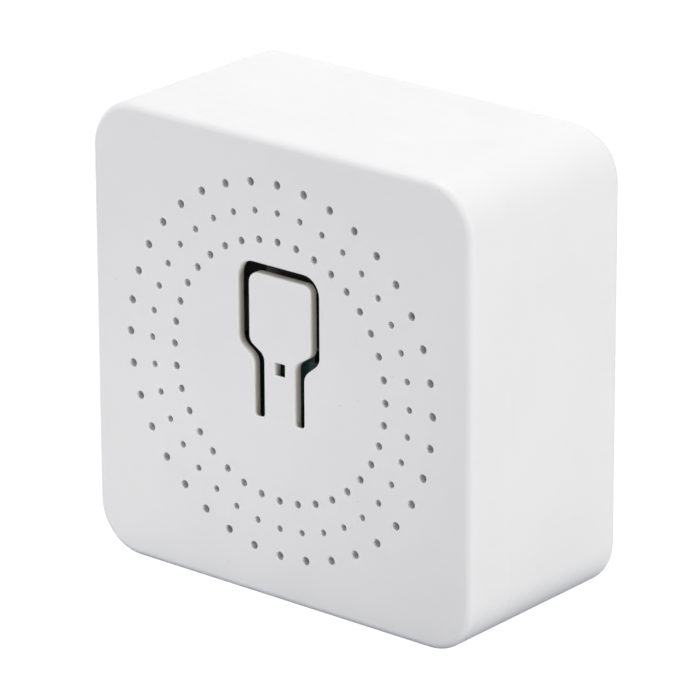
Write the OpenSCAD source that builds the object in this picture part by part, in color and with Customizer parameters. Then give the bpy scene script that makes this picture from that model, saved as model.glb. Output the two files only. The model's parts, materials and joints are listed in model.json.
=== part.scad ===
// Smart relay module: a square plastic box with a push button, a relay and screw terminals.
// X runs to the right, Y from the front face to the back, Z up from the underside.

/* [Case] */
// Width of the case
case_w = 39.2; // [35.2:0.2:60]
// Height of the case
case_h = 39.2; // [35.2:0.2:60]
// Depth of the case from the front face to the back
case_d = 19; // [17:0.2:30]
// Radius of the four upright corners
corner_r = 4.3; // [3.6:0.1:6]
// Rounding of the front edges
front_edge_r = 0.9; // [0.4:0.1:1.1]
// Rounding of the back edges
back_edge_r = 0.6; // [0.3:0.1:1.1]
// Thickness of the side walls
wall_t = 1.2; // [1.1:0.1:1.8]
// Thickness of the front panel and of the button tongue
panel_t = 0.8; // [0.6:0.1:1.1]
// Thickness of the back wall
back_t = 1.2; // [0.9:0.1:1.6]
// Depth of the front cover, from the face to the seam
cover_d = 5.1; // [4.6:0.1:7]

/* [Seam] */
// Length of the lip that stands up from the rear case
lip_l = 1.6; // [1.2:0.1:2.2]
// Thickness of the lip
lip_t = 0.55; // [0.45:0.05:0.6]
// Clearance between the lip and the cover
lip_gap = 0.05; // [0.03:0.01:0.1]
// Length of each snap bead
bead_l = 10; // [6:1:16]
// Radius of the snap beads
bead_r = 0.3; // [0.2:0.05:0.35]
// How far each snap bead stands out of the lip
bead_rise = 0.2; // [0.1:0.05:0.25]

/* [Vents] */
// Radius of the inner ring of vent holes
vent_ring_in = 11; // [10.5:0.1:11.8]
// Radius of the middle ring of vent holes
vent_ring_mid = 13.4; // [12.6:0.1:14.2]
// Radius of the outer ring of vent holes
vent_ring_out = 15.75; // [15:0.05:16.5]
// Hole diameter in the inner ring
vent_in_dia = 0.66; // [0.4:0.02:1]
// Hole diameter in the middle ring
vent_mid_dia = 0.58; // [0.4:0.02:1]
// Hole diameter in the outer ring
vent_out_dia = 0.72; // [0.4:0.02:1]
// Holes in each ring
vents_per_ring = 36; // [12:1:48]
// Height of the rings' centre above the middle of the face
vent_rise = 0.15; // [-1:0.05:1]

/* [Button] */
// Sideways place of the button from the middle of the face
button_x = 0.1; // [-1:0.05:1]
// Width of the button head
head_w = 6.4; // [5.6:0.1:7.6]
// Top of the head above the middle of the face
head_top = 8.1; // [7.2:0.1:9]
// Corner radius at the top of the head
head_r = 0.8; // [0.3:0.1:1.2]
// Where the head's sides end, above the middle of the face
shoulder_top = 2.2; // [2:0.1:3]
// Where the shoulders meet the stem, above the middle of the face
shoulder_end = 1.2; // [0.6:0.05:1.4]
// Rounding of the shoulders
shoulder_r = 0.5; // [0.2:0.1:0.9]
// Width of the stem
stem_w = 3.25; // [2.4:0.05:3.6]
// Root of the stem below the middle of the face
root_drop = 4.05; // [3:0.05:6]
// Width of the slot along the sides
slot_w = 0.97; // [0.6:0.01:1.2]
// Width of the slot above the head
slot_top_w = 0.86; // [0.5:0.01:1.2]
// Corner radius of the slot's outer edge, twice that of its shoulders
slot_r = 1.6; // [0.8:0.1:1.8]
// Width of the light window in the stem
window_w = 1.05; // [0.6:0.05:1.6]
// Height of the light window
window_h = 1.05; // [0.6:0.05:1.2]
// Centre of the light window above the middle of the face
window_rise = 0.4; // [-1:0.05:0.6]
// Place of the switch above the middle of the face
switch_rise = 5.2; // [5:0.1:6]
// Radius of the boss that presses the switch
boss_r = 1; // [0.6:0.1:1.4]
// Gap between the boss and the switch at rest
boss_gap = 0.05; // [0.04:0.01:0.1]

/* [Circuit board] */
// Thickness of the circuit board
board_t = 1.2; // [0.8:0.1:1.6]
// Front side of the board behind the front face
board_depth = 4.5; // [4.3:0.1:5]
// Gap between the board and the walls
board_gap = 0.3; // [0.15:0.05:0.5]
// Distance of the corner posts from the outside of the case
post_inset = 4.4; // [4.2:0.1:5]
// Radius of the corner posts
post_r = 1.6; // [1.3:0.1:1.8]
// Radius of the locating pegs on the posts
peg_r = 0.75; // [0.5:0.05:0.9]
// Length of the locating pegs
peg_l = 0.7; // [0.4:0.1:0.8]
// Clearance round a peg
peg_gap = 0.1; // [0.05:0.01:0.2]
// Radius of a component lead
lead_r = 0.3; // [0.2:0.05:0.4]
// How far the leads stand out of the front side of the board
lead_out = 0.8; // [0.4:0.1:1.2]
// Clearance round a lead in the board
lead_gap = 0.1; // [0.05:0.01:0.2]

/* [Status light] */
// Length of the light's body
led_l = 1.6; // [1:0.1:2]
// Width of the light's body
led_w = 0.8; // [0.5:0.1:1.2]
// Height of the light's base
led_base_h = 0.3; // [0.2:0.05:0.5]
// Height of the light's lens above its base
led_lens_h = 0.4; // [0.2:0.05:0.8]
// Length of the lens
led_lens_l = 1.1; // [0.6:0.1:1.2]

/* [Tact switch] */
// Side of the switch's square base
tact_w = 6; // [5.6:0.1:6.4]
// Height of the base above the board
tact_base_h = 2.1; // [2:0.05:2.2]
// Floor of the base under the dome
tact_floor_t = 0.5; // [0.3:0.05:0.6]
// Radius of the well in the base
tact_well_r = 2.4; // [2.3:0.05:2.6]
// Thickness of the metal frame
tact_frame_t = 0.3; // [0.2:0.05:0.3]
// Length of the frame's side skirts
tact_skirt_l = 1.2; // [0.8:0.1:1.6]
// Radius of the plunger
plunger_r = 1.65; // [1.2:0.05:1.75]
// Top of the plunger above the board
plunger_h = 3.1; // [3:0.05:3.2]
// Radius of the plunger's flange
flange_r = 2.2; // [2:0.05:2.25]
// Thickness of the plunger's flange
flange_t = 0.4; // [0.3:0.05:0.4]
// Clearance round the plunger
plunger_gap = 0.1; // [0.05:0.01:0.2]
// Rise of the contact dome
dome_rise = 0.7; // [0.5:0.05:0.75]
// Thickness of the contact dome
dome_t = 0.1; // [0.08:0.01:0.12]

/* [Radio module] */
// Gap between the radio board and the switch
radio_side = 0.95; // [0.4:0.05:1.4]
// Gap between the radio board and the corner post above it
radio_above = 0.5; // [0.3:0.1:1.5]
// Thickness of the radio board
radio_t = 0.8; // [0.6:0.1:1]
// Gap between the radio board and the edge of the main board
radio_edge = 1; // [0.5:0.1:1.5]
// Underside of the radio board above the middle of the face
radio_rise = 1.1; // [1:0.1:1.6]
// Width of the shield can
shield_w = 10; // [8:0.5:10.5]
// Height of the shield can
shield_h = 7.6; // [6:0.2:8]
// How far the shield stands out of the radio board
shield_out = 1.6; // [1.2:0.1:1.8]
// Thickness of the shield's sheet
shield_t = 0.2; // [0.15:0.05:0.3]
// Margin between the shield and the edge of the radio board
shield_edge = 0.6; // [0.3:0.1:1]

/* [Terminals] */
// Number of terminals
poles = 5; // [3:1:5]
// Gap between the block and the corner posts
block_side = 0.5; // [0.3:0.1:1]
// Gap between the block and the back wall
block_back = 0.5; // [0.3:0.1:1]
// Thickness of the partitions between terminals
partition_t = 0.9; // [0.8:0.05:1]
// Thickness added at each end of the block
block_end_t = 0.4; // [0.3:0.1:0.5]
// Gap between the block and the bottom wall
block_gap = 0.1; // [0.05:0.05:0.3]
// Thickness of the block's wall on the wire side
wire_wall_t = 1.4; // [1:0.1:1.8]
// Thickness of the block's inner wall
inner_wall_t = 1.2; // [0.8:0.1:1.6]
// Thickness of the block's floor on the board
block_floor_t = 1; // [0.8:0.1:1.2]
// Thickness of the shoulder that holds a screw's head
screw_shoulder_t = 0.6; // [0.5:0.05:0.8]
// Radius of the wire entry in the block
wire_r = 1.5; // [1.2:0.05:1.5]
// Radius of the wire entry in the case
entry_r = 1.8; // [1.6:0.05:2]
// Radius of the screwdriver holes in the back
access_r = 1.95; // [1.8:0.05:2.2]

/* [Clamps] */
// Clearance at each side of a clamp cage
cage_side = 0.09; // [0.05:0.01:0.15]
// Length of a clamp cage along the wire
cage_l = 4.6; // [4:0.1:5]
// Sheet thickness of a clamp cage
cage_t = 0.5; // [0.4:0.05:0.6]
// Clearance round a clamp cage
cage_gap = 0.1; // [0.05:0.01:0.2]
// Space for the wire that a closed cage leaves under its contact bar
wire_left = 1.5; // [1:0.1:2]
// Room above a contact bar in an open cage
bar_room = 0.9; // [0.5:0.1:1.2]
// Radius of a terminal screw's shank
shank_r = 1.25; // [1:0.05:1.3]
// Radius of a terminal screw's head
screw_head_r = 1.65; // [1.5:0.05:1.7]
// Height of a terminal screw's head
screw_head_h = 1.2; // [0.8:0.1:1.2]
// Width of the screwdriver slot
driver_w = 0.6; // [0.4:0.05:0.8]
// How deep a screw's head sits in the block
head_sink = 0.4; // [0.2:0.1:0.4]
// Depth of the screwdriver slot
driver_deep = 0.6; // [0.4:0.05:0.7]
// Clearance round a screw
screw_gap = 0.1; // [0.05:0.01:0.2]
// Clearance at each side of a contact bar in its cage
bar_side = 0.2; // [0.1:0.05:0.4]
// Thickness of the contact bars
bar_t = 0.6; // [0.5:0.05:0.7]
// Radius of a contact's solder pin
contact_pin_r = 0.45; // [0.3:0.05:0.5]

/* [Relay] */
// Gap between the relay and the bulk capacitors
relay_bulk_gap = 1.8; // [1:0.1:2.4]
// Top of the relay above the middle of the case
relay_top = 7.2; // [6.4:0.1:7.6]
// Gap between the relay and the back wall
relay_back = 1.2; // [0.6:0.1:1.5]
// Wall of the relay's cover
relay_wall_t = 0.7; // [0.5:0.1:0.8]
// Thickness of the relay's base
relay_base_t = 1.2; // [1:0.1:1.3]
// Clearance between the relay's cover and base
relay_gap = 0.1; // [0.05:0.01:0.2]
// Gap between the relay and the left wall
relay_side = 1.1; // [0.6:0.1:1.4]
// Gap between the relay and the terminal block
relay_above_block = 1.3; // [0.8:0.1:1.6]
// Room between the yoke and the top of the relay's cover
relay_head_room = 0.2; // [0.1:0.05:0.6]
// Room between the yoke and the relay's right end wall
relay_tail_room = 3.25; // [2.5:0.05:5]
// Thickness of the former's flanges
former_flange_t = 0.7; // [0.5:0.1:0.9]
// Thickness of the former's tube
former_tube_t = 0.6; // [0.4:0.1:0.7]
// Radius of the iron core, as a part of the former's half width
core_part = 0.375; // [0.3:0.025:0.4]
// Radius of the core's pole face
pole_r = 2.2; // [1.9:0.1:2.4]
// Thickness of the core's pole head
pole_t = 0.6; // [0.4:0.1:0.6]
// How far the winding stays inside the former's flanges
winding_inset = 0.3; // [0.2:0.1:1]
// Thickness of the yoke and armature
iron_t = 0.7; // [0.6:0.05:0.8]
// How far the yoke and armature stay inside the former's flanges
iron_inset = 0.5; // [0.2:0.1:1]
// Clearance between the relay's fixed iron parts
iron_gap = 0.05; // [0.02:0.01:0.06]
// Air gap between the armature and the pole at rest
air_gap = 0.55; // [0.5:0.05:0.7]
// Gap between the contacts at rest
contact_gap = 0.55; // [0.55:0.05:0.7]
// Radius of the contacts
contact_r = 1; // [0.7:0.1:1]
// Thickness of a contact
contact_t = 0.6; // [0.4:0.1:0.7]
// Thickness of the contact arm
arm_t = 0.8; // [0.6:0.1:1]
// Height of the contact arm
arm_h = 2.4; // [2:0.1:2.6]
// Thickness of the fixed contact's blade
blade_t = 0.6; // [0.4:0.1:0.8]
// Room between the armature and the relay's end wall
relay_end_room = 2.7; // [2.2:0.1:3]
// Radius of the relay's pins
relay_pin_r = 0.4; // [0.3:0.05:0.5]
// Distance of the relay's pins from its ends and lower side
pin_inset = 1.4; // [1.3:0.1:2]
// Gap between the relay's upper pins and the radio board
pin_clear = 1.5; // [0.8:0.1:3]

/* [Power supply] */
// Radius of the bulk capacitors
bulk_r = 4; // [3.2:0.1:4]
// Gap between the bulk capacitors and the back wall
bulk_back = 1.1; // [0.6:0.1:4]
// Radius of the output capacitor
output_r = 3.15; // [2.5:0.05:3.2]
// Height of the output capacitor
output_h = 8; // [6:0.2:11]
// Lead distance of the bulk capacitors from their middle
bulk_lead = 1.75; // [1:0.05:2.5]
// Lead distance of the output capacitor from its middle
output_lead = 1.25; // [0.8:0.05:2]
// Depth of the crimp groove round a capacitor
crimp_t = 0.25; // [0.15:0.05:0.35]
// Radius of the choke's flanges
choke_r = 3; // [2.4:0.1:3.2]
// Height of the choke
choke_h = 7; // [5:0.2:9]
// Thickness of the choke's flanges
choke_flange_t = 1.2; // [0.8:0.1:1.6]
// Radius of the choke's post
choke_post_r = 1.3; // [1:0.1:1.5]
// Radius of the choke's winding
choke_winding_r = 2.5; // [2:0.1:2.7]
// Lead distance of the choke from its middle
choke_lead = 2; // [1.6:0.1:2.4]
// Radius of the varistor's disc
varistor_r = 3.7; // [3:0.1:3.8]
// Thickness of the varistor
varistor_t = 3.4; // [2.6:0.1:3.6]
// Lead distance of the varistor from its middle
varistor_lead = 2.5; // [1.5:0.1:2.8]
// Radius of the fuse resistor
fuse_r = 1.5; // [1.2:0.1:1.5]
// Length of the fuse resistor
fuse_l = 9.5; // [8:0.1:10]
// Gap between neighbouring components
part_gap = 0.6; // [0.4:0.1:0.8]
// Gap between a lying or standing component and the board
stand_off = 0.5; // [0.3:0.1:0.7]
// Length of the bridge rectifier
bridge_l = 4.7; // [4:0.1:5]
// Width of the bridge rectifier
bridge_w = 3.9; // [3.4:0.1:4.2]
// Height of the bridge rectifier
bridge_h = 1.6; // [1.2:0.1:2]
// Length of the converter chip
chip_l = 4.9; // [4:0.1:5]
// Width of the converter chip
chip_w = 3.9; // [3.4:0.1:4]
// Height of the converter chip
chip_h = 1.5; // [1.2:0.1:1.8]
// Length of a small chip component
small_l = 2; // [1.6:0.1:2.2]
// Width of a small chip component
small_w = 1.25; // [0.8:0.05:1.3]
// Height of a small chip component
small_h = 0.6; // [0.4:0.05:0.8]
// Distance between small chip components
small_pitch = 2.2; // [2.1:0.1:2.4]
// Small chip components in each column
small_rows = 4; // [1:1:4]

/* [Hidden] */
$fn = 64;

// The case: planes that everything else hangs on
front_y = -case_d / 2;
back_y = case_d / 2;
panel_y = front_y + panel_t;
seam_y = front_y + cover_d;
inside_back_y = back_y - back_t;
mid_z = case_h / 2;
inside_w = case_w - 2 * wall_t;
inside_h = case_h - 2 * wall_t;
inside_r = corner_r - wall_t;
edge_steps = 6;
// How far a cutting shape runs past the face that it opens
past = 1;

// The circuit board and its posts
board_front_y = front_y + board_depth;
board_back_y = board_front_y + board_t;
behind_board = inside_back_y - board_back_y;
board_w = inside_w - 2 * board_gap;
board_h = inside_h - 2 * board_gap;
post_x = case_w / 2 - post_inset;
post_z = case_h / 2 - post_inset;
posts = [for (sx = [-1, 1], sz = [-1, 1]) [sx * post_x, mid_z + sz * post_z]];

// The button and the switch behind it
root_z = mid_z - root_drop;
switch_z = mid_z + switch_rise;
window_z = mid_z + window_rise;
plunger_y = board_front_y - plunger_h;
flange_y = board_front_y - tact_base_h + plunger_gap;

// The terminals, with heights counted from the back side of the board
block_w = 2 * (post_x - post_r - block_side);
pitch = (block_w - 2 * block_end_t) / poles;
block_z = wall_t + block_gap;
block_h = behind_board - block_back;
cell_w = pitch - partition_t;
head_low = block_h - head_sink - screw_head_h;
cavity_high = head_low - screw_gap - screw_shoulder_t;
cage_low = block_floor_t + 2 * cage_gap;
cage_w = cell_w - 2 * cage_side;
clamp_room = cavity_high - cage_gap - cage_low;
cage_travel = (clamp_room - 2 * cage_t - bar_t - bar_room - wire_left) / 2;
cage_h = clamp_room - cage_travel;
wire_space = wire_left + cage_travel;
bar_w = cage_w - 2 * cage_t - 2 * bar_side;
bar_low = cage_low + cage_t + wire_space;
bar_high = bar_low + bar_t;
wire_high = cage_low + cage_t + wire_space / 2;
wire_y = board_back_y + wire_high;
cage_z = block_z + wire_wall_t + cage_gap;
screw_z = cage_z + cage_l / 2;
leg_z = cage_z + cage_l + 2 * cage_gap;
cavity_l = cage_l + bar_t + 4 * cage_gap;
block_l = wire_wall_t + cavity_l + inner_wall_t;
contact_pin_z = leg_z + bar_t / 2;
function pole_x(i) = (i - (poles + 1) / 2) * pitch;

// The power supply, placed from the right wall and up from the terminals
right_x = case_w / 2 - wall_t;
fuse_x = right_x - board_gap - fuse_r;
bulk_x = fuse_x - fuse_r - part_gap - bulk_r;
bulk_h = behind_board - bulk_back;
bulk_low_z = block_z + block_l + part_gap + bulk_r;
bulk_step = 2 * bulk_r + part_gap;
bulk_at = [for (i = [0, 1]) [bulk_x, bulk_low_z + i * bulk_step]];
fuse_z = bulk_low_z;
output_x = post_x - post_r - part_gap / 2 - output_r;
output_at = [output_x, bulk_low_z + bulk_step + bulk_r + part_gap + output_r];
choke_x = output_x - output_r - part_gap - choke_r;
varistor_x = choke_x - choke_r - part_gap - varistor_t / 2;
bridge_x = varistor_x - varistor_t / 2 - part_gap - bridge_l / 2;
upper_z = mid_z + relay_top + part_gap + varistor_r;
fuse_lead = fuse_l / 2 + part_gap;
lead_pairs = concat(
    [for (c = bulk_at, s = [-1, 1]) [c[0] + s * bulk_lead, c[1]]],
    [for (s = [-1, 1]) [output_at[0] + s * output_lead, output_at[1]]]
);
choke_leads = [for (s = [-1, 1]) [choke_x + s * choke_lead, upper_z]];
varistor_leads = [for (s = [-1, 1]) [varistor_x, upper_z + s * varistor_lead]];
fuse_leads = [for (s = [-1, 1]) [fuse_x, fuse_z + fuse_l / 2 + s * fuse_lead]];
thin_leads = concat(lead_pairs, choke_leads, varistor_leads, fuse_leads);

// The relay, with lengths counted from its left end and widths from its lower side
relay_x = -case_w / 2 + wall_t + relay_side;
relay_z = block_z + block_l + relay_above_block;
relay_l = bulk_x - bulk_r - relay_bulk_gap - relay_x;
relay_w = mid_z + relay_top - relay_z;
relay_h = behind_board - relay_back;
former_w = relay_h - relay_wall_t - relay_base_t - iron_t - relay_head_room - 2 * iron_gap;
former_half = former_w / 2;
winding_r = former_half - winding_inset;
core_r = former_half * core_part;
iron_w = former_w - 2 * iron_inset;
coil_high = relay_base_t + iron_gap + former_half;
coil_z = relay_z + relay_wall_t + relay_gap + iron_gap + former_half;
yoke_low = coil_high + former_half + iron_gap;
arm_x = relay_x + relay_wall_t + relay_end_room - arm_t;
armature_x = arm_x + arm_t;
yoke_x = armature_x + iron_t;
pole_x_face = yoke_x + air_gap;
former_x = pole_x_face + pole_t + iron_gap;
core_end_x = relay_x + relay_l - relay_wall_t - relay_tail_room;
yoke_leg_x = core_end_x - iron_t;
former_end_x = yoke_leg_x - iron_gap;
former_l = former_end_x - former_x;
armature_low = relay_base_t + contact_r;
arm_low = relay_base_t + contact_r / 2;
contact_high = arm_low + arm_h / 2;
contact_z = coil_z + former_half + contact_r + 2 * relay_wall_t;
fixed_face_x = armature_x + contact_t + contact_gap;
blade_x = fixed_face_x + contact_t;
radio_z = mid_z + radio_rise;
relay_pins_at = [
    for (px = [pin_inset, relay_l - pin_inset], pz = [relay_z + pin_inset, radio_z - pin_clear - relay_pin_r])
        [relay_x + px, pz]
];

// The radio module, on the front side of the board
radio_x = -board_w / 2 + radio_edge;
switch_side_x = button_x - tact_w / 2 - tact_frame_t - radio_side;
varistor_side_x = varistor_x - lead_r - part_gap / 2;
radio_w = min(switch_side_x, varistor_side_x) - radio_x;
radio_h = mid_z + post_z - post_r - radio_above - radio_z;

// The small parts on the front side of the board, to the right of the switch
chip_x = bulk_x + chip_l / 4;
chip_z = (bulk_at[1][1] + output_at[1]) / 2;
small_columns = [
    bulk_x - bulk_lead - lead_r - part_gap / 2 - small_l,
    fuse_x - fuse_r - small_l
];
small_z = bulk_low_z + small_pitch;

// Points of an arc from one angle to another
function arc(centre, r, from, to, steps) = [
    for (i = [0:steps]) let (a = from + (to - from) * i / steps)
        [centre[0] + r * cos(a), centre[1] + r * sin(a)]
];

// Half section of a block with rounded edges: distance from a corner's centre, then depth
function edge_section(r, d, front_r, rear_r) = concat(
    [[0, 0]],
    front_r > 0 ? arc([r - front_r, front_r], front_r, -90, 0, edge_steps) : [[r, 0]],
    rear_r > 0 ? arc([r - rear_r, d - rear_r], rear_r, 0, 90, edge_steps) : [[r, d]],
    [[0, d]]
);

// An outline with each corner rounded by its own radius
function rounded(points, radii) = [
    for (i = [0:len(points) - 1])
        let (
            n = len(points),
            here = points[i],
            back = points[(i + n - 1) % n] - here,
            ahead = points[(i + 1) % n] - here,
            u = back / norm(back),
            v = ahead / norm(ahead),
            half = acos(u * v) / 2,
            middle = (u + v) / norm(u + v),
            centre = here + middle * radii[i] / sin(half),
            start = here + u * radii[i] / tan(half) - centre,
            end = here + v * radii[i] / tan(half) - centre,
            a0 = atan2(start[1], start[0]),
            turn = atan2(end[1], end[0]) - a0,
            sweep = turn > 180 ? turn - 360 : turn < -180 ? turn + 360 : turn
        )
        each radii[i] > 0 ? arc(centre, radii[i], a0, a0 + sweep, edge_steps) : [here]
];

// The paddle outline of the button, or of its opening when grown by the slot's width
function paddle(grow, grow_top, top_r, bend_r) =
    let (
        head = head_w / 2 + grow,
        stem = stem_w / 2 + grow,
        top = mid_z + head_top + grow_top,
        side_end = mid_z + shoulder_top - grow / 4,
        stem_top = mid_z + shoulder_end - grow / 2,
        left = [[-head, top], [-head, side_end], [-stem, stem_top], [-stem, root_z]],
        right = [[stem, root_z], [stem, stem_top], [head, side_end], [head, top]]
    )
    rounded(
        [for (p = concat(left, right)) p + [button_x, 0]],
        [top_r, bend_r, bend_r, 0, 0, bend_r, bend_r, top_r]
    );

// A flat outline in X and Z, given depth along Y
module slab(y, depth) {
    translate([0, y + depth, 0]) rotate([90, 0, 0]) linear_extrude(depth) children();
}

// A round bar along Y
module rod(at, y, length, r) {
    translate([at[0], y, at[1]]) rotate([-90, 0, 0]) cylinder(h = length, r = r);
}

// A round bar along X
module cross_rod(at, x, length, r) {
    translate([x, at[0], at[1]]) rotate([0, 90, 0]) cylinder(h = length, r = r);
}

// A box given by its low corner and its size
module box(low, size) {
    translate(low) cube(size);
}

module rounded_rect(w, h, r) {
    translate([0, mid_z]) {
        square([w, h - 2 * r], center = true);
        square([w - 2 * r, h], center = true);
        for (sx = [-1, 1], sz = [-1, 1])
            translate([sx * (w / 2 - r), sz * (h / 2 - r)]) circle(r);
    }
}

// A block with rounded corners and rounded front or back edges, from depth y backwards
module soft_block(y, d, front_r, rear_r) {
    section = edge_section(corner_r, d, front_r, rear_r);
    span_x = case_w - 2 * corner_r;
    span_z = case_h - 2 * corner_r;
    translate([0, y, mid_z]) rotate([-90, 0, 0]) {
        translate([-span_x / 2, -span_z / 2, 0]) cube([span_x, span_z, d]);
        for (turn = [0, 180]) rotate(turn) {
            translate([span_x / 2, span_z / 2, 0]) rotate_extrude(angle = 90) polygon(section);
            translate([-span_x / 2, span_z / 2, 0]) rotate(90) rotate_extrude(angle = 90) polygon(section);
            translate([span_x / 2, span_z / 2, 0])
                rotate([90, 0, 0]) linear_extrude(span_z) polygon(section);
            translate([-span_x / 2, span_z / 2, 0])
                rotate([90, 0, 90]) linear_extrude(span_x) polygon(section);
        }
    }
}

// Snap beads along the four sides of the lip, or their grooves when grown
module beads(grow) {
    seat = wall_t - lip_t + bead_r - bead_rise;
    y = seam_y - lip_l / 2;
    for (s = [-1, 1]) {
        cross_rod([y, mid_z + s * (case_h / 2 - seat)], -bead_l / 2, bead_l, bead_r + grow);
        translate([s * (case_w / 2 - seat), y, mid_z - bead_l / 2]) cylinder(h = bead_l, r = bead_r + grow);
    }
}

// Vent holes of one ring
module vent_ring(ring_r, dia) {
    for (i = [0:vents_per_ring - 1]) {
        a = 360 * i / vents_per_ring;
        at = [ring_r * cos(a), mid_z + vent_rise + ring_r * sin(a)];
        rod(at, front_y - past, panel_t + 2 * past, dia / 2);
    }
}

module front_cover() color("white") {
    rebate = 2 * (lip_t + lip_gap);
    difference() {
        soft_block(front_y, cover_d, front_edge_r, 0);
        slab(panel_y, cover_d) rounded_rect(inside_w, inside_h, inside_r);
        slab(seam_y - lip_l - lip_gap, cover_d)
            rounded_rect(inside_w + rebate, inside_h + rebate, inside_r + rebate / 2);
        beads(lip_gap);
        vent_ring(vent_ring_in, vent_in_dia);
        vent_ring(vent_ring_mid, vent_mid_dia);
        vent_ring(vent_ring_out, vent_out_dia);
        slab(front_y - past, panel_t + 2 * past) polygon(paddle(slot_w, slot_top_w, slot_r, slot_r / 2));
    }
    for (at = posts) rod(at, panel_y - panel_t / 2, board_front_y - panel_y + panel_t / 2, post_r);
}

module rear_case() color("white") {
    difference() {
        union() {
            soft_block(seam_y, case_d - cover_d, 0, back_edge_r);
            slab(seam_y - lip_l, 2 * lip_l)
                rounded_rect(inside_w + 2 * lip_t, inside_h + 2 * lip_t, inside_r + lip_t);
            beads(0);
        }
        slab(seam_y - cover_d, inside_back_y - seam_y + cover_d)
            rounded_rect(inside_w, inside_h, inside_r);
        for (i = [1:poles]) {
            translate([pole_x(i), wire_y, -past]) cylinder(h = wall_t + 2 * past, r = entry_r);
            rod([pole_x(i), screw_z], inside_back_y - past, back_t + 2 * past, access_r);
        }
    }
    for (at = posts) {
        rod(at, board_back_y, inside_back_y - board_back_y + back_t / 2, post_r);
        rod(at, board_back_y - peg_l, 2 * peg_l, peg_r);
    }
}

module button() color("white") {
    difference() {
        slab(front_y, panel_t) polygon(paddle(0, 0, head_r, shoulder_r));
        box([button_x - window_w / 2, front_y - past, window_z - window_h / 2],
            [window_w, panel_t + 2 * past, window_h]);
    }
    rod([button_x, switch_z], panel_y - panel_t / 2, plunger_y - panel_y + panel_t / 2 - boss_gap, boss_r);
}

module main_board() color("darkgreen") {
    slab(board_front_y, board_t) difference() {
        rounded_rect(board_w, board_h, inside_r - board_gap);
        for (at = posts) translate(at) circle(peg_r + peg_gap);
        for (i = [1:poles]) translate([pole_x(i), contact_pin_z]) circle(contact_pin_r + lead_gap);
        for (at = relay_pins_at) translate(at) circle(relay_pin_r + lead_gap);
        for (at = thin_leads) translate(at) circle(lead_r + lead_gap);
    }
}

module status_led() color("darkslategray") {
    base_y = board_front_y - led_base_h;
    box([button_x - led_l / 2, base_y, window_z - led_w / 2], [led_l, led_base_h, led_w]);
    box([button_x - led_lens_l / 2, base_y - led_lens_h, window_z - led_w / 2],
        [led_lens_l, led_lens_h, led_w]);
}

module tact_base() color("dimgray") {
    top_y = board_front_y - tact_base_h;
    difference() {
        box([button_x - tact_w / 2, top_y, switch_z - tact_w / 2], [tact_w, tact_base_h, tact_w]);
        rod([button_x, switch_z], top_y - past, tact_base_h - tact_floor_t + past, tact_well_r);
    }
}

module tact_frame() color("black") {
    top_y = board_front_y - tact_base_h - tact_frame_t;
    difference() {
        box([button_x - tact_w / 2, top_y, switch_z - tact_w / 2], [tact_w, tact_frame_t, tact_w]);
        rod([button_x, switch_z], top_y - past, tact_frame_t + 2 * past, plunger_r + plunger_gap);
    }
    for (side_x = [-tact_w / 2 - tact_frame_t, tact_w / 2])
        box([button_x + side_x, top_y, switch_z - tact_w / 4],
            [tact_frame_t, tact_frame_t + tact_skirt_l, tact_w / 2]);
}

module tact_dome() color("gold") {
    dome_r = tact_well_r - plunger_gap;
    sphere_r = (dome_r * dome_r + dome_rise * dome_rise) / (2 * dome_rise);
    rim = asin(dome_r / sphere_r);
    shell = concat(
        arc([0, dome_rise - sphere_r], sphere_r, 90 - rim, 90, edge_steps),
        arc([0, dome_rise - sphere_r], sphere_r - dome_t, 90, 90 - rim, edge_steps)
    );
    floor_y = board_front_y - tact_floor_t - dome_t;
    translate([button_x, floor_y, switch_z]) rotate([90, 0, 0]) rotate_extrude() polygon(shell);
}

module tact_plunger() color("black") {
    rod([button_x, switch_z], plunger_y, flange_y - plunger_y + flange_t, plunger_r);
    rod([button_x, switch_z], flange_y, flange_t, flange_r);
}

module radio_board() color("darkgreen")
    box([radio_x, board_front_y - radio_t, radio_z], [radio_w, radio_t, radio_h]);

module radio_shield() color("silver") {
    low = [radio_x + (radio_w - shield_w) / 2, board_front_y - radio_t - shield_out, radio_z + shield_edge];
    difference() {
        box(low, [shield_w, shield_out, shield_h]);
        box(low + [shield_t, shield_t, shield_t],
            [shield_w - 2 * shield_t, shield_out, shield_h - 2 * shield_t]);
    }
}

module terminal_block() color("gainsboro") {
    top_y = board_back_y + block_h;
    difference() {
        box([-block_w / 2, board_back_y, block_z], [block_w, block_h, block_l]);
        for (i = [1:poles]) {
            x = pole_x(i);
            box([x - cell_w / 2, board_back_y + block_floor_t, block_z + wire_wall_t],
                [cell_w, cavity_high - block_floor_t, cavity_l]);
            translate([x, wire_y, block_z - past]) cylinder(h = wire_wall_t + 2 * past, r = wire_r);
            translate([x, wire_y, block_z])
                cylinder(h = wire_wall_t / 2, r1 = entry_r, r2 = wire_r);
            rod([x, screw_z], board_back_y + cavity_high - past, block_h, shank_r + screw_gap);
            rod([x, screw_z], board_back_y + head_low - screw_gap, block_h, screw_head_r + screw_gap);
            box([x - bar_w / 2 - cage_gap, board_back_y - past, leg_z - cage_gap],
                [bar_w + 2 * cage_gap, block_floor_t + 2 * past, bar_t + 2 * cage_gap]);
        }
    }
}

module terminal_contacts() color("goldenrod") {
    for (i = [1:poles]) {
        x = pole_x(i);
        box([x - bar_w / 2, board_back_y + bar_low, cage_z], [bar_w, bar_t, leg_z + bar_t - cage_z]);
        box([x - bar_w / 2, board_back_y, leg_z], [bar_w, bar_high, bar_t]);
        rod([x, contact_pin_z], board_front_y - lead_out, lead_out + board_t, contact_pin_r);
    }
}

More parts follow.
